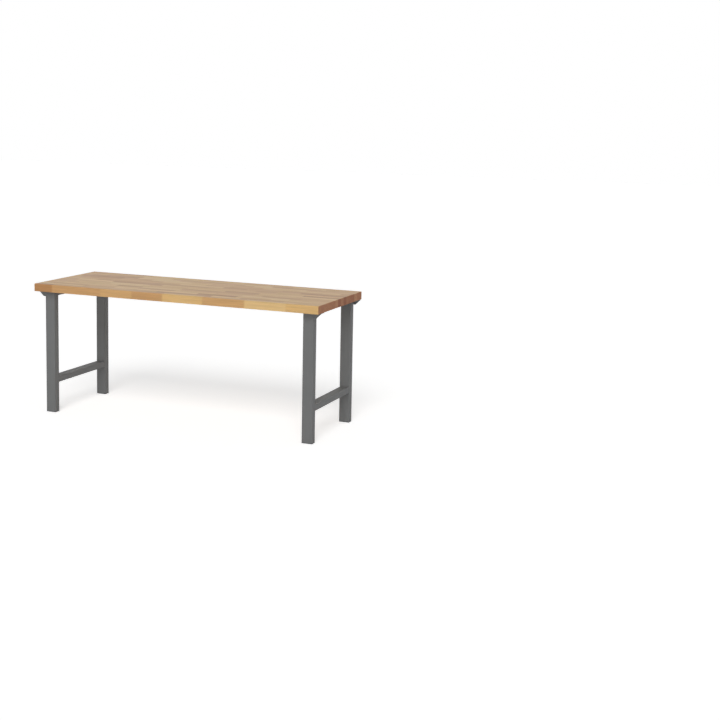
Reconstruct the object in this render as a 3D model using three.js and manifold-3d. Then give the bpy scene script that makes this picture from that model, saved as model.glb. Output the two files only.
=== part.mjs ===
// Workbench: a thick beech worktop on two welded steel end frames.
// Millimetres, +Z up. The origin lies on the floor under the middle of the worktop,
// +X runs along the bench and -Y is its front.

import * as THREE from 'three';
import { mergeVertices } from 'three/addons/utils/BufferGeometryUtils.js';
import Module from 'manifold-3d';

const wasm = await Module();
wasm.setup();

// Worktop
const worktopLength = 2000;
const worktopDepth = 700;
const worktopThickness = 50;
const worktopEase = 1.5;

// Height of the working surface above the floor
const benchHeight = 850;

// Legs, rectangular steel tube
const legWidth = 70;
const legDepth = 45;
const legWall = 2;
const legCorner = 4;

// Setback of the legs from the worktop's ends, front edge and back edge
const legEndInset = 50;
const legFrontInset = 50;
const legBackInset = 10;

// Crossbar low in each end frame, rectangular steel tube
const crossbarWidth = 60;
const crossbarHeight = 40;
const crossbarWall = 2;
const crossbarCorner = 3;
const crossbarUnderside = 193;

// Rail at the top of each end frame, flat steel tube, flush with the legs' inner faces
const topRailWidth = 40;
const topRailHeight = 30;
const topRailWall = 2;
const topRailCorner = 3;

// Brackets under the worktop's ends, sheet folded to an angle: a flange under the worktop and a cheek
// that is flush with the leg's face on the outside of the frame
const bracketReach = 48;
const bracketHeight = 36;
const bracketToe = 13;
const bracketSheet = 3;
const bracketBend = 5;

// Foot caps, moulded with a spigot that stands up inside the leg
const capHeight = 6;
const capSole = 4;
const capEase = 1;
const spigotHeight = 25;
const spigotWall = 2.5;

// Hex-head wood screws, two in each bracket
const screwDiameter = 6;
const screwLength = 38;
const screwPoint = 6;
const screwHeadAcross = 10;
const screwHeadHeight = 4;
const screwWasherDiameter = 13;
const screwWasherHeight = 1.2;
const screwSpacing = 20;

// Clearances
const seatGap = 0.3;
const spigotGap = 0.3;
const screwHoleGap = 0.4;
const cutOverrun = 1;

// Steps that make a quarter bend, and sides that make a round
const bendSteps = 4;
const roundSides = 24;
const hexSides = 6;

// Levels and places worked out from the sizes above
const worktopUnderside = benchHeight - worktopThickness;
const frameTop = worktopUnderside - seatGap;
const legCenterX = worktopLength / 2 - legEndInset - legWidth / 2;
const topRailCenterX = legCenterX - (legWidth - topRailWidth) / 2;
const frontLegY = -worktopDepth / 2 + legFrontInset + legDepth / 2;
const backLegY = worktopDepth / 2 - legBackInset - legDepth / 2;
const railCenterY = (frontLegY + backLegY) / 2;
const railLength = backLegY - frontLegY - legDepth - 2 * seatGap;
const flangeUnderside = frameTop - bracketSheet;
const screwFromLeg = seatGap + (bracketToe + bracketReach) / 2;

const wood = new THREE.MeshStandardMaterial({ color: '#c99a66', roughness: 0.5, metalness: 0 });
const steel = new THREE.MeshStandardMaterial({ color: '#6b6d6e', roughness: 0.55, metalness: 0.1 });
const plastic = new THREE.MeshStandardMaterial({ color: '#55585a', roughness: 0.7, metalness: 0 });
const zinc = new THREE.MeshStandardMaterial({ color: '#b9bcbe', roughness: 0.35, metalness: 0.9 });

// A rectangle around the origin with round corners, as a closed outline
function roundedRectangle(path, width, height, corner) {
  const x = width / 2;
  const y = height / 2;
  path.moveTo(corner - x, -y);
  path.lineTo(x - corner, -y);
  path.absarc(x - corner, corner - y, corner, -Math.PI / 2, 0);
  path.lineTo(x, y - corner);
  path.absarc(x - corner, y - corner, corner, 0, Math.PI / 2);
  path.lineTo(corner - x, y);
  path.absarc(corner - x, y - corner, corner, Math.PI / 2, Math.PI);
  path.lineTo(-x, corner - y);
  path.absarc(corner - x, corner - y, corner, Math.PI, Math.PI * 1.5);
  return path;
}

// A bar with round corners that stands on the origin and rises along +Z
function bar(width, depth, corner, length, ease = 0) {
  const outline = roundedRectangle(new THREE.Shape(), width - 2 * ease, depth - 2 * ease, corner - ease);
  return new THREE.ExtrudeGeometry(outline, {
    depth: length - 2 * ease,
    curveSegments: bendSteps,
    bevelEnabled: ease > 0,
    bevelThickness: ease,
    bevelSize: ease,
    bevelSegments: 1,
  }).translate(0, 0, ease);
}

// An open tube with round corners that stands on the origin and rises along +Z
function tube(width, depth, wall, corner, length) {
  const outline = roundedRectangle(new THREE.Shape(), width, depth, corner);
  outline.holes.push(
    roundedRectangle(new THREE.Path(), width - 2 * wall, depth - 2 * wall, corner - wall),
  );
  return new THREE.ExtrudeGeometry(outline, {
    depth: length,
    curveSegments: bendSteps,
    bevelEnabled: false,
  });
}

// A round bar that stands on the origin and rises along +Z
function cylinder(diameter, height) {
  return new THREE.CylinderGeometry(diameter / 2, diameter / 2, height, roundSides)
    .rotateX(Math.PI / 2)
    .translate(0, 0, height / 2);
}

// A closed mesh as a solid that can be joined and cut
function toSolid(geometry) {
  const plain = geometry.clone();
  plain.deleteAttribute('normal');
  plain.deleteAttribute('uv');
  const merged = mergeVertices(plain);
  return new wasm.Manifold(new wasm.Mesh({
    numProp: 3,
    vertProperties: new Float32Array(merged.attributes.position.array),
    triVerts: new Uint32Array(merged.index.array),
  }));
}

// A solid as a geometry with flat faces
function toGeometry(solid) {
  const mesh = solid.getMesh();
  const geometry = new THREE.BufferGeometry();
  geometry.setAttribute('position', new THREE.BufferAttribute(mesh.vertProperties, mesh.numProp));
  geometry.setIndex(new THREE.BufferAttribute(mesh.triVerts, 1));
  const flat = geometry.toNonIndexed();
  flat.computeVertexNormals();
  return flat;
}

// The four corners of the bench. side is -1 at the left end and 1 at the right end,
// face is -1 at the front and 1 at the back.
const corners = [
  { place: 'front_left', side: -1, face: -1, y: frontLegY },
  { place: 'back_left', side: -1, face: 1, y: backLegY },
  { place: 'front_right', side: 1, face: -1, y: frontLegY },
  { place: 'back_right', side: 1, face: 1, y: backLegY },
].map((corner) => ({ ...corner, x: corner.side * legCenterX }));

// Places of the screws around one leg, from the leg's centre
function screwPlaces(corner) {
  return [-1, 1].map((half) => ({
    x: corner.x + corner.side * (legWidth / 2 + screwFromLeg),
    y: corner.y + half * screwSpacing / 2,
  }));
}

// The worktop block, with a blind hole for each screw
function worktopGeometry() {
  const block = new THREE.Shape();
  const x = worktopLength / 2 - worktopEase;
  const y = worktopDepth / 2 - worktopEase;
  block.moveTo(-x, -y);
  block.lineTo(x, -y);
  block.lineTo(x, y);
  block.lineTo(-x, y);
  const slab = new THREE.ExtrudeGeometry(block, {
    depth: worktopThickness - 2 * worktopEase,
    bevelThickness: worktopEase,
    bevelSize: worktopEase,
    bevelSegments: 1,
  }).translate(0, 0, worktopUnderside + worktopEase);
  let solid = toSolid(slab);
  const holeTop = flangeUnderside - seatGap + screwLength + screwHoleGap;
  const hole = cylinder(screwDiameter + 2 * screwHoleGap, holeTop - worktopUnderside + cutOverrun)
    .translate(0, 0, worktopUnderside - cutOverrun);
  for (const corner of corners) {
    for (const place of screwPlaces(corner)) {
      solid = solid.subtract(toSolid(hole.clone().translate(place.x, place.y, 0)));
    }
  }
  return toGeometry(solid);
}

// A leg stands on its foot cap's shoulder and reaches up to the worktop
function legGeometry() {
  const foot = capHeight + seatGap;
  return tube(legWidth, legDepth, legWall, legCorner, frameTop - foot).translate(0, 0, foot);
}

// A tube that runs from front leg to back leg. underside is its lowest level.
function railGeometry(width, height, wall, corner, underside) {
  return tube(width, height, wall, corner, railLength)
    .rotateX(-Math.PI / 2)
    .translate(0, -railLength / 2, underside + height / 2);
}

// A bracket with its root at the origin and its reach along +X: a folded angle, cut at a slant.
// hand is -1 for one with its cheek at -Y and 1 for its mirror image.
function bracketGeometry(hand) {
  const half = legDepth / 2;
  const inner = half - bracketSheet;
  const innerBend = bracketBend - bracketSheet;
  const angle = new THREE.Shape();
  angle.moveTo(half, 0);
  angle.lineTo(bracketBend - half, 0);
  angle.absarc(bracketBend - half, -bracketBend, bracketBend, Math.PI / 2, Math.PI);
  angle.lineTo(-half, -bracketHeight);
  angle.lineTo(-inner, -bracketHeight);
  angle.lineTo(-inner, -bracketBend);
  angle.absarc(innerBend - inner, -bracketBend, innerBend, Math.PI, Math.PI / 2, true);
  angle.lineTo(half, -bracketSheet);
  const folded = new THREE.ExtrudeGeometry(angle, {
    depth: bracketReach,
    curveSegments: bendSteps,
    bevelEnabled: false,
  }).rotateX(Math.PI / 2).rotateZ(Math.PI / 2);

  const side = new THREE.Shape();
  side.moveTo(-cutOverrun, cutOverrun);
  side.lineTo(-cutOverrun, -bracketHeight - cutOverrun);
  side.lineTo(bracketToe, -bracketHeight - cutOverrun);
  side.lineTo(bracketToe, -bracketHeight);
  side.lineTo(bracketReach, -bracketSheet);
  side.lineTo(bracketReach, cutOverrun);
  const slant = new THREE.ExtrudeGeometry(side, {
    depth: legDepth + 2 * cutOverrun,
    bevelEnabled: false,
  }).rotateX(Math.PI / 2).translate(0, half + cutOverrun, 0);

  let solid = toSolid(folded).intersect(toSolid(slant));
  const hole = cylinder(screwDiameter + 2 * screwHoleGap, bracketSheet + 2 * cutOverrun)
    .translate(screwFromLeg - seatGap, 0, -bracketSheet - cutOverrun);
  for (const end of [-1, 1]) {
    solid = solid.subtract(toSolid(hole.clone().translate(0, end * screwSpacing / 2, 0)));
  }
  return toGeometry(hand < 0 ? solid : solid.mirror([0, 1, 0]));
}

// A foot cap: a cup whose rim steps in to a hollow spigot
function footCapGeometry() {
  const inset = legWall + spigotGap;
  const spigotCorner = legCorner - legWall;
  const block = toSolid(bar(legWidth, legDepth, legCorner, capHeight, capEase));
  const spigot = toSolid(
    bar(legWidth - 2 * inset, legDepth - 2 * inset, spigotCorner, capHeight + spigotHeight - capSole)
      .translate(0, 0, capSole),
  );
  const hollow = toSolid(
    bar(
      legWidth - 2 * (inset + spigotWall),
      legDepth - 2 * (inset + spigotWall),
      spigotCorner,
      capHeight + spigotHeight + cutOverrun - capSole,
    ).translate(0, 0, capSole),
  );
  return toGeometry(block.add(spigot).subtract(hollow));
}

// A screw with the seat of its head at the origin and its point along +Z
function screwGeometry() {
  const neck = screwDiameter / 2;
  const shank = new THREE.LatheGeometry([
    new THREE.Vector2(0, -screwHeadHeight / 2),
    new THREE.Vector2(neck, -screwHeadHeight / 2),
    new THREE.Vector2(neck, screwLength - screwPoint),
    new THREE.Vector2(0, screwLength),
  ], roundSides).rotateX(Math.PI / 2);
  const head = new THREE.CylinderGeometry(
    screwHeadAcross / 2 / Math.cos(Math.PI / hexSides),
    screwHeadAcross / 2 / Math.cos(Math.PI / hexSides),
    screwHeadHeight,
    hexSides,
  ).rotateX(Math.PI / 2).translate(0, 0, -screwHeadHeight / 2);
  const washer = cylinder(screwWasherDiameter, screwWasherHeight).translate(0, 0, -screwWasherHeight);
  return toGeometry(toSolid(head).add(toSolid(washer)).add(toSolid(shank)));
}

const workbench = new THREE.Group();

function addPiece(name, geometry, material, x = 0, y = 0, z = 0, turn = 0) {
  const mesh = new THREE.Mesh(geometry, material);
  mesh.name = name;
  mesh.position.set(x, y, z);
  mesh.rotation.z = turn;
  workbench.add(mesh);
}

addPiece('worktop', worktopGeometry(), wood);

const leg = legGeometry();
const footCap = footCapGeometry();
const screw = screwGeometry();
for (const corner of corners) {
  const outerFace = corner.x + corner.side * (legWidth / 2 + seatGap);
  const turn = corner.side > 0 ? 0 : Math.PI;
  const bracket = bracketGeometry(corner.side * corner.face);
  addPiece(`leg_${corner.place}`, leg, steel, corner.x, corner.y);
  addPiece(`bracket_${corner.place}`, bracket, steel, outerFace, corner.y, frameTop, turn);
  addPiece(`foot_cap_${corner.place}`, footCap, plastic, corner.x, corner.y);
  screwPlaces(corner).forEach((place, index) => {
    addPiece(`screw_${corner.place}_${index + 1}`, screw, zinc, place.x, place.y, flangeUnderside - seatGap);
  });
}

const crossbar = railGeometry(
  crossbarWidth, crossbarHeight, crossbarWall, crossbarCorner, crossbarUnderside,
);
const topRail = railGeometry(
  topRailWidth, topRailHeight, topRailWall, topRailCorner, frameTop - topRailHeight,
);
for (const [end, side] of [['left', -1], ['right', 1]]) {
  addPiece(`crossbar_${end}`, crossbar, steel, side * legCenterX, railCenterY);
  addPiece(`top_rail_${end}`, topRail, steel, side * topRailCenterX, railCenterY);
}

export default workbench;
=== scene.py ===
"""The looks of a long workbench: a glued beech worktop on two powder-coated steel end frames.

Blender works in metres here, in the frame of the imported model: +X runs along the bench, -Y is its front
and +Z is up. Sizes of details are written in millimetres and turned to metres where a mesh or a pattern
is made.
"""

import math
import random

import bmesh
import bpy
from mathutils import Euler, Matrix, Vector


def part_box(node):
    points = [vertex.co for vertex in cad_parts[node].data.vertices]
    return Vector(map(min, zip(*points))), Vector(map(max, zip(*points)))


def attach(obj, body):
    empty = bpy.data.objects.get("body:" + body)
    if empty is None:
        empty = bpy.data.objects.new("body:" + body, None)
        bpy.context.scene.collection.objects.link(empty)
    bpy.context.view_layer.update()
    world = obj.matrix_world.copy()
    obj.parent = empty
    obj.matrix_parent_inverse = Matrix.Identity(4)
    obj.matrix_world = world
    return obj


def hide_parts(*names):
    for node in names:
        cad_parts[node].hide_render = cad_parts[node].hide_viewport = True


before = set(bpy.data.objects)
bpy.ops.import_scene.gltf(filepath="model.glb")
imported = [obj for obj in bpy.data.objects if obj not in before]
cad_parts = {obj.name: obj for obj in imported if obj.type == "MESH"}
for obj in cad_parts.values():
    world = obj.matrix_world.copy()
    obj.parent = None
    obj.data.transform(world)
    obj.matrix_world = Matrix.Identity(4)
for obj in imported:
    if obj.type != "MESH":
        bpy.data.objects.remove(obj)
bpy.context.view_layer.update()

MM = 0.001

# Steel tube and sheet
LEG_WALL = 2.0
LEG_CORNER = 4.0
CROSSBAR_WALL = 2.0
CROSSBAR_CORNER = 3.0
TOP_RAIL_WALL = 2.0
TOP_RAIL_CORNER = 3.0
SAWN_EDGE_EASE = 0.4
BRACKET_SHEET = 3.0
BRACKET_BEND = 5.0
BRACKET_TOE = 13.0
SHEET_EDGE_EASE = 0.4
SHEET_EDGE_STEPS = 2

# Welds
# Ripples, each WELD_RIPPLE long, and a slow swell that turns by one radian in WELD_SWELL change a bead's
# size along its way, each by up to WELD_SIZE_SHARE. Its sections stand about WELD_STEP apart, and it stops
# WELD_END short of a free edge.
WELD_RIPPLE = 2.6
WELD_SWELL = 9.0
WELD_SIZE_SHARE = 0.07
WELD_STEP = 0.65
WELD_END = 1.0
WELD_SEED = 11

# Section of a bead in a corner: how far each point is out of one part's face, then out of the other's
FILLET = [
    (-1.2, -1.2),
    (3.2, -1.2),
    (3.2, 0.0),
    (2.4, 1.15),
    (1.7, 1.7),
    (1.15, 2.4),
    (0.0, 3.2),
    (-1.2, 3.2),
]

# Section of a seam between two flush faces: how far each point is across the seam, then out of the faces
SEAM = [
    (-2.8, -0.1),
    (-1.3, 0.3),
    (0.2, 0.45),
    (1.7, 0.25),
    (2.6, -0.3),
    (0.2, -2.8),
]

# Foot caps
CAP_HEIGHT = 6.0
CAP_SOLE = 4.0
CAP_SOLE_EASE = 1.6
CAP_LIP = 0.7
CAP_SPIGOT_GAP = 0.3
CAP_SPIGOT_WALL = 2.5
CAP_SPIGOT_EASE = 1.0

# Worktop
WORKTOP_EDGE = 1.5
WORKTOP_CORNER = 2.5

# Staves of the worktop
# Tones and joints are drawn by the rows' numbers. MIDDLE_ROW is the number of the row just behind the
# bench's middle line, and it decides which draws lie at the front edge.
STAVE_WIDTH = 44.5
STAVE_LENGTH = 270.0
MIDDLE_ROW = 744
STAVE_TONES = [
    (0.0, "#a87746"),
    (0.1, "#b98b59"),
    (0.45, "#c39963"),
    (0.75, "#cca66b"),
    (1.0, "#d1af78"),
]

# Joints, in staves
# A row is shifted along by up to ROW_SHIFT, and its joints wander by up to JOINT_WANDER from there. The
# wander is a noise of JOINT_WANDER_SCALE waves for each stave, read JOINT_WANDER_STEP further in each row.
ROW_SHIFT = 7.0
JOINT_WANDER = 1.1
JOINT_WANDER_SCALE = 0.9
JOINT_WANDER_STEP = 3.7

# Fingers, and glue that fades out over GLUE_LINE on both sides of a joint, wider than it really is
FINGER_LENGTH = 10.0
FINGER_PITCH = 8.0
GLUE_LINE = 0.5
GLUE_SHARE = 0.4

# Logs
# A stave comes from anywhere along its log. The log's heart lies up to HEART_SIDE to either side of the
# stave, and between the two depths of HEART_BELOW under the worktop. Year rings bend by up to RING_BEND.
LOG_LENGTH = 3000.0
HEART_SIDE = 180.0
HEART_BELOW = (45.0, 150.0)
RING_SPACING = 3.2
RING_BEND = 14.0

# Sizes of the grain's patterns: along the log, then both ways across it. A streak's second size is from
# ring to ring.
RING_BEND_SIZES = (400.0, 50.0, 50.0)
STREAK_SIZES = (260.0, 6.0, 30.0)
FIBRE_SIZES = (60.0, 1.6, 1.6)
FLECK_SIZES = (9.0, 1.5, 1.5)

# Relief of the fibres, and how far a fleck sinks as a share of it
GRAIN_DEPTH = 0.3
FLECK_DEPTH_SHARE = -0.6

# Light and dark of the wood as shares of its stave's tone. The plain share is what no pattern changes.
PLAIN_SHARE = 0.69
STREAK_SHARE = 0.62
FIBRE_SHARE = 0.16
RING_SHARE = -0.11
FLECK_SHARE = -0.10

# End grain: what it leaves of the wood's red, green, blue and alpha, and how much rougher it is
END_GRAIN_SHARES = (0.55, 0.38, 0.41, 1.0)
END_GRAIN_ROUGHNESS = 0.2

# Powder coat, plastic and zinc
COAT_CLOUD = 90.0
COAT_PEEL = 2.4
COAT_PEEL_DEPTH = 0.12
MOULD_GRAIN = 0.9
MOULD_GRAIN_DEPTH = 0.08
ZINC_CLOUD = 5.0

# Sockets of a Mix node that mixes colours
MIX_SHARE = 0
MIX_FIRST = 6
MIX_SECOND = 7
MIXED = 2

# Meshes
ROUND_STEPS = 8
SHARP_ANGLE = math.radians(40)
Y_AXIS = 1
Z_AXIS = 2


# Materials


def linear(text):
    """An sRGB hex colour as linear red, green, blue and alpha."""
    shares = [int(text[i : i + 2], 16) / 255 for i in (1, 3, 5)]
    return (
        *[s / 12.92 if s <= 0.04045 else ((s + 0.055) / 1.055) ** 2.4 for s in shares],
        1.0,
    )


def per_metre(size):
    """How many times a size in millimetres goes into a metre."""
    return 1 / (size * MM)


def node(tree, kind, inputs=None, **settings):
    """Adds a shader node and gives its outputs. An input gets a value, or a link from another's output."""
    made = tree.nodes.new("ShaderNode" + kind)
    for name, value in settings.items():
        setattr(made, name, value)
    for socket, value in (inputs or {}).items():
        if isinstance(value, bpy.types.NodeSocket):
            tree.links.new(value, made.inputs[socket])
        else:
            made.inputs[socket].default_value = value
    return made.outputs


def new_material(name):
    """An empty material with its node tree and the socket that its shader goes to."""
    material = bpy.data.materials.new(name)
    material.use_nodes = True
    tree = material.node_tree
    tree.nodes.clear()
    output = tree.nodes.new("ShaderNodeOutputMaterial")
    return material, tree, output.inputs["Surface"]


def lay_staves(tree, place):
    """Rows of staves across the bench, cut into lengths by finger joints that lie elsewhere in each row.

    Gives the place across, counted in rows, with its row's number, the place along, counted in staves, and
    the stave's own random draw.
    """
    axes = node(tree, "SeparateXYZ", {0: place})
    across = node(
        tree,
        "Math",
        {0: axes["Y"], 1: per_metre(STAVE_WIDTH), 2: MIDDLE_ROW},
        operation="MULTIPLY_ADD",
    )[0]
    row = node(tree, "Math", {0: across}, operation="FLOOR")[0]
    row_draw = node(tree, "TexWhiteNoise", {"W": row}, noise_dimensions="1D")["Value"]
    row_shift = node(tree, "Math", {0: row_draw, 1: ROW_SHIFT}, operation="MULTIPLY")[0]

    # Fingers zigzag up the edges
    zigzag = node(tree, "Math", {0: axes["Z"], 1: FINGER_PITCH * MM / 2}, operation="PINGPONG")[0]
    fingered = node(
        tree,
        "Math",
        {0: zigzag, 1: FINGER_LENGTH / (FINGER_PITCH / 2), 2: axes["X"]},
        operation="MULTIPLY_ADD",
    )[0]
    even = node(
        tree,
        "Math",
        {0: fingered, 1: per_metre(STAVE_LENGTH), 2: row_shift},
        operation="MULTIPLY_ADD",
    )[0]
    wander_at = node(
        tree, "Math", {0: row, 1: JOINT_WANDER_STEP, 2: even}, operation="MULTIPLY_ADD"
    )[0]
    wander = node(
        tree,
        "TexNoise",
        {"W": wander_at, "Scale": JOINT_WANDER_SCALE, "Detail": 0.0},
        noise_dimensions="1D",
    )["Fac"]
    along = node(tree, "Math", {0: wander, 1: JOINT_WANDER, 2: even}, operation="MULTIPLY_ADD")[0]
    number = node(tree, "Math", {0: along}, operation="FLOOR")[0]
    stave = node(tree, "CombineXYZ", {"X": number, "Y": row})[0]
    stave_draw = node(tree, "TexWhiteNoise", {"Vector": stave}, noise_dimensions="3D")
    return across, row, along, stave_draw


def stave_tone(tree, stave_draw):
    """The colour that a stave's draw gives it."""
    tone = node(tree, "ValToRGB", {"Fac": stave_draw["Value"]})["Color"]
    ramp = tone.node.color_ramp
    for position, _ in STAVE_TONES[1:-1]:
        ramp.elements.new(position)
    for element, (position, colour) in zip(ramp.elements, STAVE_TONES):
        element.position = position
        element.color = linear(colour)
    return tone


def find_in_log(tree, place, across, row, stave_draw):
    """Each stave's place in its log, and its distance from the log's heart, bent as the year rings are."""
    axes = node(tree, "SeparateXYZ", {0: place})
    beside = node(tree, "Math", {0: across, 1: row}, operation="SUBTRACT")[0]
    beside = node(tree, "Math", {0: beside, 1: STAVE_WIDTH * MM}, operation="MULTIPLY")[0]
    in_stave = node(tree, "CombineXYZ", {"X": axes["X"], "Y": beside, "Z": axes["Z"]})[0]
    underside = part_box("worktop")[0].z
    nearest, farthest = HEART_BELOW
    heart = node(
        tree,
        "VectorMath",
        {
            0: stave_draw["Color"],
            1: (LOG_LENGTH * MM, 2 * HEART_SIDE * MM, (farthest - nearest) * MM),
            2: (0.0, -HEART_SIDE * MM, nearest * MM - underside),
        },
        operation="MULTIPLY_ADD",
    )[0]
    in_log = node(tree, "VectorMath", {0: in_stave, 1: heart}, operation="ADD")[0]

    # Rings lie round the heart, so the place along the log doesn't count
    outward = node(tree, "VectorMath", {0: in_log, 1: (0.0, 1.0, 1.0)}, operation="MULTIPLY")[0]
    distance = node(tree, "VectorMath", {0: outward}, operation="LENGTH")["Value"]
    bend_place = node(
        tree,
        "VectorMath",
        {0: in_log, 1: tuple(map(per_metre, RING_BEND_SIZES))},
        operation="MULTIPLY",
    )[0]
    bend = node(tree, "TexNoise", {"Vector": bend_place, "Scale": 1.0, "Detail": 1.0})["Fac"]
    from_heart = node(
        tree, "Math", {0: bend, 1: RING_BEND * MM, 2: distance}, operation="MULTIPLY_ADD"
    )[0]
    return in_log, from_heart


def streak_grain(tree, in_log, from_heart):
    """Long soft streaks that follow the year rings."""
    axes = node(tree, "SeparateXYZ", {0: in_log})
    on_ring = node(tree, "CombineXYZ", {"X": axes["X"], "Y": from_heart, "Z": axes["Y"]})[0]
    place = node(
        tree,
        "VectorMath",
        {0: on_ring, 1: tuple(map(per_metre, STREAK_SIZES))},
        operation="MULTIPLY",
    )[0]
    return node(
        tree, "TexNoise", {"Vector": place, "Scale": 1.0, "Detail": 4.0, "Roughness": 0.6}
    )["Fac"]


def fibre_grain(tree, in_log):
    """Fibres along the grain, drawn much coarser than real ones so that they show."""
    place = node(
        tree,
        "VectorMath",
        {0: in_log, 1: tuple(map(per_metre, FIBRE_SIZES))},
        operation="MULTIPLY",
    )[0]
    return node(
        tree, "TexNoise", {"Vector": place, "Scale": 1.0, "Detail": 2.0, "Roughness": 0.5}
    )["Fac"]


def ray_flecks(tree, in_log):
    """Ray flecks of beech, dark dashes along the grain, drawn about twice as coarse as the real ones."""
    place = node(
        tree,
        "VectorMath",
        {0: in_log, 1: tuple(map(per_metre, FLECK_SIZES))},
        operation="MULTIPLY",
    )[0]
    distance = node(tree, "TexVoronoi", {"Vector": place, "Scale": 1.0, "Randomness": 1.0})["Distance"]
    return node(
        tree,
        "MapRange",
        {"Value": distance, "From Min": 0.12, "From Max": 0.3, "To Min": 1.0, "To Max": 0.0},
    )["Result"]


def year_rings(tree, from_heart):
    """Year rings, each darker towards the line where its growth ends."""
    rings = node(tree, "Math", {0: from_heart, 1: RING_SPACING * MM}, operation="DIVIDE")[0]
    growth = node(tree, "Math", {0: rings}, operation="FRACT")[0]
    return node(tree, "MapRange", {"Value": growth, "From Min": 0.35, "From Max": 1.0})["Result"]


def glue_lines(tree, across, along):
    """How much glue shows between staves and in the finger joints.

    Joints lie at whole numbers, so a ping-pong by a half gives the distance to the nearest one.
    """
    row_edge = node(tree, "Math", {0: across, 1: 0.5}, operation="PINGPONG")[0]
    row_edge = node(tree, "Math", {0: row_edge, 1: STAVE_WIDTH}, operation="MULTIPLY")[0]
    joint_edge = node(tree, "Math", {0: along, 1: 0.5}, operation="PINGPONG")[0]
    joint_edge = node(tree, "Math", {0: joint_edge, 1: STAVE_LENGTH}, operation="MULTIPLY")[0]
    nearest = node(tree, "Math", {0: row_edge, 1: joint_edge}, operation="MINIMUM")[0]
    return node(
        tree,
        "MapRange",
        {"Value": nearest, "From Min": 0.0, "From Max": GLUE_LINE, "To Min": GLUE_SHARE, "To Max": 0.0},
    )["Result"]


def oiled_beech():
    """Beech staves glued side by side and end to end, sanded and oiled.

    Each stave has its own tone, from pale straw to a reddish heart, with long soft streaks, small dark ray
    flecks and faint year rings. The sawn ends drink more oil, so the end grain is darker and redder.
    """
    material, tree, surface = new_material("oiled_beech")
    coordinates = node(tree, "TexCoord")
    across, row, along, stave_draw = lay_staves(tree, coordinates["Object"])
    in_log, from_heart = find_in_log(tree, coordinates["Object"], across, row, stave_draw)
    tone = stave_tone(tree, stave_draw)
    streaks = streak_grain(tree, in_log, from_heart)
    fibres = fibre_grain(tree, in_log)
    flecks = ray_flecks(tree, in_log)
    rings = year_rings(tree, from_heart)
    glue = glue_lines(tree, across, along)

    light = node(
        tree, "Math", {0: streaks, 1: STREAK_SHARE, 2: PLAIN_SHARE}, operation="MULTIPLY_ADD"
    )[0]
    for pattern, share in ((fibres, FIBRE_SHARE), (rings, RING_SHARE), (flecks, FLECK_SHARE)):
        light = node(tree, "Math", {0: pattern, 1: share, 2: light}, operation="MULTIPLY_ADD")[0]
    grained = node(tree, "VectorMath", {0: tone, "Scale": light}, operation="SCALE")[0]

    facing = node(tree, "SeparateXYZ", {0: coordinates["Normal"]})["X"]
    end_face = node(tree, "Math", {0: facing}, operation="ABSOLUTE")[0]
    end_grain = node(
        tree, "MapRange", {"Value": end_face, "From Min": 0.6, "From Max": 0.95}
    )["Result"]
    coloured = node(
        tree,
        "Mix",
        {MIX_SHARE: end_grain, MIX_FIRST: grained, MIX_SECOND: END_GRAIN_SHARES},
        data_type="RGBA",
        blend_type="MULTIPLY",
    )[MIXED]
    finished = node(
        tree,
        "Mix",
        {MIX_SHARE: glue, MIX_FIRST: coloured, MIX_SECOND: linear("#6f4a2c")},
        data_type="RGBA",
    )[MIXED]

    roughness = node(
        tree,
        "MapRange",
        {"Value": streaks, "From Min": 0.3, "From Max": 0.7, "To Min": 0.48, "To Max": 0.38},
    )["Result"]
    roughness = node(
        tree,
        "Math",
        {0: end_grain, 1: END_GRAIN_ROUGHNESS, 2: roughness},
        operation="MULTIPLY_ADD",
    )[0]
    pores = node(
        tree, "Math", {0: flecks, 1: FLECK_DEPTH_SHARE, 2: fibres}, operation="MULTIPLY_ADD"
    )[0]
    relief = node(
        tree, "Bump", {"Height": pores, "Strength": 0.12, "Distance": GRAIN_DEPTH * MM}
    )[0]
    shader = node(
        tree,
        "BsdfPrincipled",
        {"Base Color": finished, "Roughness": roughness, "IOR": 1.5, "Normal": relief},
    )[0]
    tree.links.new(shader, surface)
    return material


def grey_powder_coat():
    """Steel under a baked grey powder coat: satin, with the fine orange peel of powder that has melted."""
    material, tree, surface = new_material("grey_powder_coat")
    place = node(tree, "TexCoord")["Object"]
    clouds = node(
        tree, "TexNoise", {"Vector": place, "Scale": per_metre(COAT_CLOUD), "Detail": 3.0}
    )["Fac"]
    colour = node(
        tree,
        "Mix",
        {MIX_SHARE: clouds, MIX_FIRST: linear("#676868"), MIX_SECOND: linear("#6e6f6f")},
        data_type="RGBA",
    )[MIXED]
    peel = node(
        tree, "TexNoise", {"Vector": place, "Scale": per_metre(COAT_PEEL), "Detail": 1.0}
    )["Fac"]
    relief = node(
        tree, "Bump", {"Height": peel, "Strength": 0.6, "Distance": COAT_PEEL_DEPTH * MM}
    )[0]
    roughness = node(
        tree, "MapRange", {"Value": clouds, "To Min": 0.58, "To Max": 0.66}
    )["Result"]
    shader = node(
        tree,
        "BsdfPrincipled",
        {"Base Color": colour, "Roughness": roughness, "IOR": 1.5, "Normal": relief},
    )[0]
    tree.links.new(shader, surface)
    return material


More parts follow.
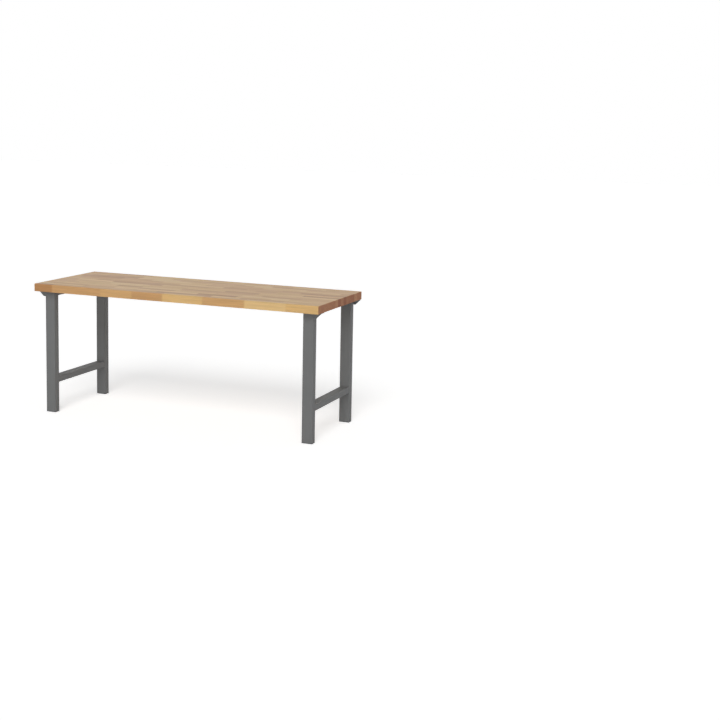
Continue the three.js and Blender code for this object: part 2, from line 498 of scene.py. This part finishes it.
def moulded_polypropylene():
    """Grey moulded polypropylene: a dull skin with the fine grain of an eroded mould.

    The grain is drawn coarser than it is, so that it shows.
    """
    material, tree, surface = new_material("moulded_polypropylene")
    place = node(tree, "TexCoord")["Object"]
    grain = node(
        tree, "TexNoise", {"Vector": place, "Scale": per_metre(MOULD_GRAIN), "Detail": 2.0}
    )["Fac"]
    colour = node(
        tree,
        "Mix",
        {MIX_SHARE: grain, MIX_FIRST: linear("#5b5d5e"), MIX_SECOND: linear("#646667")},
        data_type="RGBA",
    )[MIXED]
    relief = node(
        tree, "Bump", {"Height": grain, "Strength": 0.3, "Distance": MOULD_GRAIN_DEPTH * MM}
    )[0]
    shader = node(
        tree,
        "BsdfPrincipled",
        {"Base Color": colour, "Roughness": 0.62, "IOR": 1.49, "Normal": relief},
    )[0]
    tree.links.new(shader, surface)
    return material


def zinc_plate():
    """Bright zinc on steel screws: a cool metal with faint blue and straw clouds from the passivation."""
    material, tree, surface = new_material("zinc_plate")
    place = node(tree, "TexCoord")["Object"]
    clouds = node(
        tree, "TexNoise", {"Vector": place, "Scale": per_metre(ZINC_CLOUD), "Detail": 2.0}
    )["Fac"]
    colour = node(
        tree,
        "Mix",
        {MIX_SHARE: clouds, MIX_FIRST: linear("#b4b9be"), MIX_SECOND: linear("#c9c6bc")},
        data_type="RGBA",
    )[MIXED]
    shader = node(
        tree,
        "BsdfPrincipled",
        {"Base Color": colour, "Metallic": 1.0, "Roughness": 0.34},
    )[0]
    tree.links.new(shader, surface)
    return material


BEECH = oiled_beech()
POWDER_COAT = grey_powder_coat()
POLYPROPYLENE = moulded_polypropylene()
ZINC = zinc_plate()


# Mesh making


def skin(rows, rows_close, points_close):
    """Faces over rows of equally many points. What doesn't close on itself gets a flat end."""
    count = len(rows[0])
    faces = []
    for number in range(len(rows) if rows_close else len(rows) - 1):
        row = number * count
        next_row = (number + 1) % len(rows) * count
        for point in range(count if points_close else count - 1):
            next_point = (point + 1) % count
            faces.append((row + point, row + next_point, next_row + next_point, next_row + point))
    if not rows_close:
        last_row = (len(rows) - 1) * count
        faces.append(tuple(range(count)))
        faces.append(tuple(range(last_row, last_row + count)))
    if not points_close:
        faces.append(tuple(number * count for number in range(len(rows))))
        faces.append(tuple(number * count + count - 1 for number in range(len(rows))))
    return faces


def add_piece(name, rows, material, stands_for=(), rows_close=False, points_close=True):
    """A closed piece over rows of points in millimetres, with its material, riding on the bench.

    It replaces the nodes that it stands for. rows_close joins the last row to the first, and points_close
    does so with the points of each row.
    """
    mesh = bpy.data.meshes.new(name)
    points = [Vector(point) * MM for row in rows for point in row]
    mesh.from_pydata(points, [], skin(rows, rows_close, points_close))
    shape = bmesh.new()
    shape.from_mesh(mesh)
    bmesh.ops.recalc_face_normals(shape, faces=shape.faces)
    shape.to_mesh(mesh)
    shape.free()
    mesh.polygons.foreach_set("use_smooth", [True] * len(mesh.polygons))
    mesh.set_sharp_from_angle(angle=SHARP_ANGLE)
    mesh.materials.append(material)
    piece = bpy.data.objects.new(name, mesh)
    bpy.context.scene.collection.objects.link(piece)
    shading = piece.modifiers.new("even_shading", "WEIGHTED_NORMAL")
    shading.keep_sharp = True
    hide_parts(*stands_for)
    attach(piece, "root")
    return piece


def rounded_outline(half_a, half_b, corner):
    """Points of a rectangle with round corners around (0, 0), each with its outward direction."""
    outline = []
    for quarter, (sign_a, sign_b) in enumerate(((1, 1), (-1, 1), (-1, -1), (1, -1))):
        for step in range(ROUND_STEPS + 1):
            angle = math.pi / 2 * (quarter + step / ROUND_STEPS)
            out_a = math.cos(angle)
            out_b = math.sin(angle)
            a = sign_a * (half_a - corner) + corner * out_a
            b = sign_b * (half_b - corner) + corner * out_b
            outline.append((a, b, out_a, out_b))
    return outline


def node_box(name):
    """Lowest and highest corner of a node, in millimetres."""
    low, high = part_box(name)
    return low / MM, high / MM


# Pieces
# side is -1 at the bench's left end and 1 at its right end. way is -1 at its front and 1 at its back.


def add_worktop():
    """The glued block with its edges and corners rounded over by sanding."""
    low, high = node_box("worktop")
    middle = (low + high) / 2
    half = (high - low) / 2
    rows = []
    for level, direction in ((low.z, -1), (high.z, 1)):
        for step in range(ROUND_STEPS + 1):
            share = step / ROUND_STEPS if direction < 0 else 1 - step / ROUND_STEPS
            angle = share * math.pi / 2
            inset = WORKTOP_EDGE * (1 - math.sin(angle))
            drop = WORKTOP_EDGE * (1 - math.cos(angle))
            outline = rounded_outline(half.x - inset, half.y - inset, WORKTOP_CORNER - inset)
            rows.append(
                [(middle.x + a, middle.y + b, level - direction * drop) for a, b, *_ in outline]
            )
    return add_piece("worktop_block", rows, BEECH, stands_for=["worktop"])


def add_tube(name, wall, corner, length_axis):
    """An open steel tube in the place of the node of that name, with its sawn ends eased."""
    low, high = node_box(name)
    first, second = [axis for axis in range(3) if axis != length_axis]
    middle_a = (low[first] + high[first]) / 2
    middle_b = (low[second] + high[second]) / 2
    half_a = (high[first] - low[first]) / 2
    half_b = (high[second] - low[second]) / 2
    start = low[length_axis]
    end = high[length_axis]

    def ring(inset, level):
        points = []
        for a, b, *_ in rounded_outline(half_a - inset, half_b - inset, corner - inset):
            point = [level] * 3
            point[first] = middle_a + a
            point[second] = middle_b + b
            points.append(point)
        return points

    rows = [
        ring(SAWN_EDGE_EASE, start),
        ring(0, start + SAWN_EDGE_EASE),
        ring(0, end - SAWN_EDGE_EASE),
        ring(SAWN_EDGE_EASE, end),
        ring(wall, end),
        ring(wall, start),
    ]
    return add_piece(
        f"{name}_tube", rows, POWDER_COAT, stands_for=[name], rows_close=True
    )


def add_foot_cap(name):
    """A moulded cap: a band with the leg's outline, an eased lip and a hollow spigot inside the tube."""
    low, high = node_box(name)
    middle = (low + high) / 2
    half = (high - low) / 2
    top = high.z - low.z
    spigot = LEG_WALL + CAP_SPIGOT_GAP
    hollow = spigot + CAP_SPIGOT_WALL

    def ring(inset, level):
        corner = max(LEG_CORNER - inset, LEG_CORNER - LEG_WALL)
        outline = rounded_outline(half.x - inset, half.y - inset, corner)
        return [(middle.x + a, middle.y + b, low.z + level) for a, b, *_ in outline]

    rows = []
    for step in range(ROUND_STEPS + 1):
        angle = math.pi / 2 * step / ROUND_STEPS
        rows.append(
            ring(CAP_SOLE_EASE * (1 - math.sin(angle)), CAP_SOLE_EASE * (1 - math.cos(angle)))
        )
    rows += [
        ring(0, CAP_HEIGHT - CAP_LIP),
        ring(CAP_LIP, CAP_HEIGHT),
        ring(spigot, CAP_HEIGHT),
        ring(spigot, top - CAP_SPIGOT_EASE),
        ring(spigot + CAP_SPIGOT_EASE, top),
        ring(hollow, top),
        ring(hollow, CAP_SOLE),
    ]
    return add_piece(
        f"{name}_moulding", rows, POLYPROPYLENE, stands_for=[name]
    )


def angle_line(half, height, bend):
    """One face of a folded angle, from its flange's free edge over the bend to its cheek's foot."""
    line = [(half, 0)]
    for step in range(ROUND_STEPS + 1):
        angle = math.pi / 2 * (1 + step / ROUND_STEPS)
        line.append((bend - half + bend * math.cos(angle), bend * math.sin(angle) - bend))
    line.append((-half, -height))
    return line


def add_bracket(name, side, way):
    """An angle folded from sheet: a flange under the worktop and a cheek cut at a slant towards its toe."""
    low, high = node_box(name)
    half = (high.y - low.y) / 2
    middle = (high.y + low.y) / 2
    height = high.z - low.z
    reach = high.x - low.x
    root = low.x if side > 0 else high.x
    outer = angle_line(half, height, BRACKET_BEND)
    lining = angle_line(
        half - BRACKET_SHEET, height - BRACKET_SHEET, BRACKET_BEND - BRACKET_SHEET
    )
    inner = [(half, -BRACKET_SHEET)]
    inner += [(across, level - BRACKET_SHEET) for across, level in lining[1:]]

    def reach_at(level):
        share = (-level - BRACKET_SHEET) / (height - BRACKET_SHEET)
        return reach - max(share, 0) * (reach - BRACKET_TOE)

    def row(line, far):
        return [
            (
                root + side * (reach_at(level) if far else 0),
                middle - way * across,
                high.z + level,
            )
            for across, level in line
        ]

    rows = [row(outer, False), row(outer, True), row(inner, True), row(inner, False)]
    piece = add_piece(
        f"{name}_sheet",
        rows,
        POWDER_COAT,
        stands_for=[name],
        rows_close=True,
        points_close=False,
    )
    ease = piece.modifiers.new("eased_edges", "BEVEL")
    ease.width = SHEET_EDGE_EASE * MM
    ease.segments = SHEET_EDGE_STEPS
    ease.limit_method = "ANGLE"
    piece.modifiers.move(piece.modifiers.find(ease.name), 0)
    return piece


def add_weld(name, line, section, draw, closed=False):
    """A weld along a line of (place, way_a, way_b), with the ripples that each drop of steel leaves.

    The section's two numbers count along way_a and way_b.
    """
    ends = line[1:] + line[:1] if closed else line[1:]
    stops = []
    for (place, way_a, way_b), (next_place, next_way_a, next_way_b) in zip(line, ends):
        steps = max(1, round((next_place - place).length / WELD_STEP))
        for step in range(steps):
            share = step / steps
            stops.append(
                (
                    place.lerp(next_place, share),
                    way_a.lerp(next_way_a, share).normalized(),
                    way_b.lerp(next_way_b, share).normalized(),
                )
            )
    if not closed:
        stops.append(line[-1])
    phase = draw.uniform(0, 2 * math.pi)
    rows = []
    distance = 0.0
    last = stops[0][0]
    for place, way_a, way_b in stops:
        distance += (place - last).length
        last = place
        ripple = math.sin(2 * math.pi * distance / WELD_RIPPLE)
        swell = math.sin(distance / WELD_SWELL + phase)
        size = 1 + WELD_SIZE_SHARE * (ripple + swell)
        rows.append([place + (way_a * a + way_b * b) * size for a, b in section])
    return add_piece(name, rows, POWDER_COAT, rows_close=closed)


def weld_rail(name, tube, corner, way, draw, side=None):
    """Joins one end of a tube that lies along Y to its leg.

    The bead runs all round the tube. With a side, it runs only under it and up its outer face, because the
    inner face is flush with the leg and the worktop lies on top.
    """
    low, high = node_box(tube)
    middle = (low + high) / 2
    half = (high - low) / 2
    outline = rounded_outline(half.x, half.z, corner)
    if side:
        # The outline's last quarter is its lower corner at +X, and side turns that to the outer face
        outer_corner = 3 * (ROUND_STEPS + 1)
        under = [outline[outer_corner - 1], *outline[outer_corner:], outline[0]]
        outline = [(side * a, b, side * out_a, out_b) for a, b, out_a, out_b in under]
    end = high.y if way > 0 else low.y
    line = [
        (
            Vector((middle.x + a, end, middle.z + b)),
            Vector((out_a, 0, out_b)),
            Vector((0, -way, 0)),
        )
        for a, b, out_a, out_b in outline
    ]
    return add_weld(name, line, FILLET, draw, closed=not side)


def weld_bracket(name, bracket, side, way, draw):
    """Joins a bracket to its leg: beads under its flange and inside its cheek, and a flat seam outside."""
    low, high = node_box(bracket)
    root = low.x if side > 0 else high.x
    face = high.y if way > 0 else low.y
    free = low.y if way > 0 else high.y
    level = high.z - BRACKET_SHEET
    behind = face - way * BRACKET_SHEET
    off_leg = Vector((side, 0, 0))
    inward = Vector((0, -way, 0))
    down = Vector((0, 0, -1))
    flange = [
        (Vector((root, behind - way * BRACKET_BEND, level)), down, off_leg),
        (Vector((root, free + way * WELD_END, level)), down, off_leg),
    ]
    cheek = [
        (Vector((root, behind, level - BRACKET_BEND)), inward, off_leg),
        (Vector((root, behind, low.z + WELD_END)), inward, off_leg),
    ]
    seam = [
        (Vector((root, face, high.z - BRACKET_BEND)), off_leg, -inward),
        (Vector((root, face, low.z)), off_leg, -inward),
    ]
    add_weld(f"{name}_flange", flange, FILLET, draw)
    add_weld(f"{name}_cheek", cheek, FILLET, draw)
    add_weld(f"{name}_seam", seam, SEAM, draw)


def add_end_frame(end, side, draw):
    """One welded end frame: two legs, a crossbar, a top rail and the brackets under the worktop's end."""
    crossbar = f"crossbar_{end}"
    top_rail = f"top_rail_{end}"
    add_tube(crossbar, CROSSBAR_WALL, CROSSBAR_CORNER, Y_AXIS)
    add_tube(top_rail, TOP_RAIL_WALL, TOP_RAIL_CORNER, Y_AXIS)
    for depth, way in (("front", -1), ("back", 1)):
        place = f"{depth}_{end}"
        add_tube(f"leg_{place}", LEG_WALL, LEG_CORNER, Z_AXIS)
        add_bracket(f"bracket_{place}", side, way)
        add_foot_cap(f"foot_cap_{place}")
        weld_rail(f"weld_crossbar_{place}", crossbar, CROSSBAR_CORNER, way, draw)
        weld_rail(f"weld_top_rail_{place}", top_rail, TOP_RAIL_CORNER, way, draw, side)
        weld_bracket(f"weld_bracket_{place}", f"bracket_{place}", side, way, draw)


def dress_screws():
    """The screws keep their own shape and get their zinc."""
    for name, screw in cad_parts.items():
        if name.startswith("screw_"):
            for place in screw.material_slots:
                place.material = ZINC


weld_draws = random.Random(WELD_SEED)
add_worktop()
add_end_frame("left", -1, weld_draws)
add_end_frame("right", 1, weld_draws)
dress_screws()


# Studio

# Floor, in metres, and the glow that makes it white for the camera
FLOOR_SIZE = 60.0
FLOOR_GLOW = 0.52

# Room light
# ROOM_LIGHT comes evenly from all sides. HORIZON_LIGHT is added at the horizon and below it, and falls off
# above it with HORIZON_FALL as its power.
ROOM_LIGHT = 0.17
HORIZON_LIGHT = 3.2
HORIZON_FALL = 6.0

# Key lamp
KEY_STRENGTH = 1.38
KEY_SPREAD = math.radians(30)
KEY_TURN = math.radians(16)
KEY_HEIGHT = math.radians(40)

# Camera, in metres and radians, with its lens and shift for the photograph's square frame
CAMERA_PLACE = (3.9199, -7.1919, 2.0114)
CAMERA_YAW = 0.39162
CAMERA_PITCH = 0.12008
CAMERA_ROLL = 0.01654
CAMERA_LENS = 64.03
CAMERA_SHIFT = (0.0361, -0.1361)


def add_floor():
    """A pale floor that keeps the bench's shadow, is white around it and is clear from below."""
    half = FLOOR_SIZE / 2
    corners = [(-half, -half, 0), (half, -half, 0), (half, half, 0), (-half, half, 0)]
    mesh = bpy.data.meshes.new("floor")
    mesh.from_pydata(corners, [], [(0, 1, 2, 3)])
    floor = bpy.data.objects.new("floor", mesh)
    bpy.context.scene.collection.objects.link(floor)
    material, tree, surface = new_material("white_floor")
    diffuse = node(tree, "BsdfDiffuse", {"Color": linear("#f2f2f2")})[0]
    seen = node(tree, "LightPath")["Is Camera Ray"]
    glow_strength = node(tree, "Math", {0: seen, 1: FLOOR_GLOW}, operation="MULTIPLY")[0]
    glow = node(tree, "Emission", {"Strength": glow_strength})[0]
    lit = node(tree, "AddShader", {0: diffuse, 1: glow})[0]
    under = node(tree, "NewGeometry")["Backfacing"]
    clear_share = node(tree, "Math", {0: seen, 1: under}, operation="MULTIPLY")[0]
    clear = node(tree, "BsdfTransparent")[0]
    shader = node(tree, "MixShader", {0: clear_share, 1: lit, 2: clear})[0]
    tree.links.new(shader, surface)
    mesh.materials.append(material)


def light_room():
    """White light from all sides, strongest at the horizon. The camera and gloss see plain white."""
    world = bpy.data.worlds.new("studio")
    world.use_nodes = True
    tree = world.node_tree
    tree.nodes.clear()
    path = node(tree, "LightPath")
    mirrored = node(
        tree, "Math", {0: path["Is Glossy Ray"], 1: path["Is Transmission Ray"]}, operation="MAXIMUM"
    )[0]
    seen = node(tree, "Math", {0: path["Is Camera Ray"], 1: mirrored}, operation="MAXIMUM")[0]
    direction = node(tree, "TexCoord")["Generated"]
    upward = node(tree, "SeparateXYZ", {0: direction})["Z"]
    lowness = node(
        tree, "MapRange", {"Value": upward, "To Min": 1.0, "To Max": 0.0}
    )["Result"]
    falloff = node(tree, "Math", {0: lowness, 1: HORIZON_FALL}, operation="POWER")[0]
    soft = node(
        tree, "Math", {0: falloff, 1: HORIZON_LIGHT, 2: ROOM_LIGHT}, operation="MULTIPLY_ADD"
    )[0]
    strength = node(
        tree, "MapRange", {"Value": seen, "To Min": soft, "To Max": 1.0}
    )["Result"]
    background = node(
        tree, "Background", {"Color": linear("#ffffff"), "Strength": strength}
    )[0]
    output = tree.nodes.new("ShaderNodeOutputWorld")
    tree.links.new(background, output.inputs["Surface"])
    bpy.context.scene.world = world


def add_key_lamp():
    """A broad soft lamp in front of the bench, a little to its right."""
    lamp = bpy.data.lights.new("key", "SUN")
    lamp.energy = KEY_STRENGTH
    lamp.angle = KEY_SPREAD
    key = bpy.data.objects.new("key", lamp)
    key.rotation_euler = (math.pi / 2 - KEY_HEIGHT, 0, KEY_TURN)
    key.visible_glossy = False
    bpy.context.scene.collection.objects.link(key)


def add_camera():
    """The photograph's view: from the front and right, above the worktop and tilted down a little."""
    lens = bpy.data.cameras.new("camera")
    lens.lens = CAMERA_LENS
    lens.shift_x, lens.shift_y = CAMERA_SHIFT
    camera = bpy.data.objects.new("camera", lens)
    facing = Euler((math.pi / 2 - CAMERA_PITCH, 0, CAMERA_YAW)).to_matrix()
    roll = Matrix.Rotation(CAMERA_ROLL, 3, "Z")
    camera.matrix_world = Matrix.Translation(CAMERA_PLACE) @ (facing @ roll).to_4x4()
    bpy.context.scene.collection.objects.link(camera)
    bpy.context.scene.camera = camera


add_floor()
light_room()
add_key_lamp()
add_camera()
bpy.context.scene.view_settings.view_transform = "Standard"
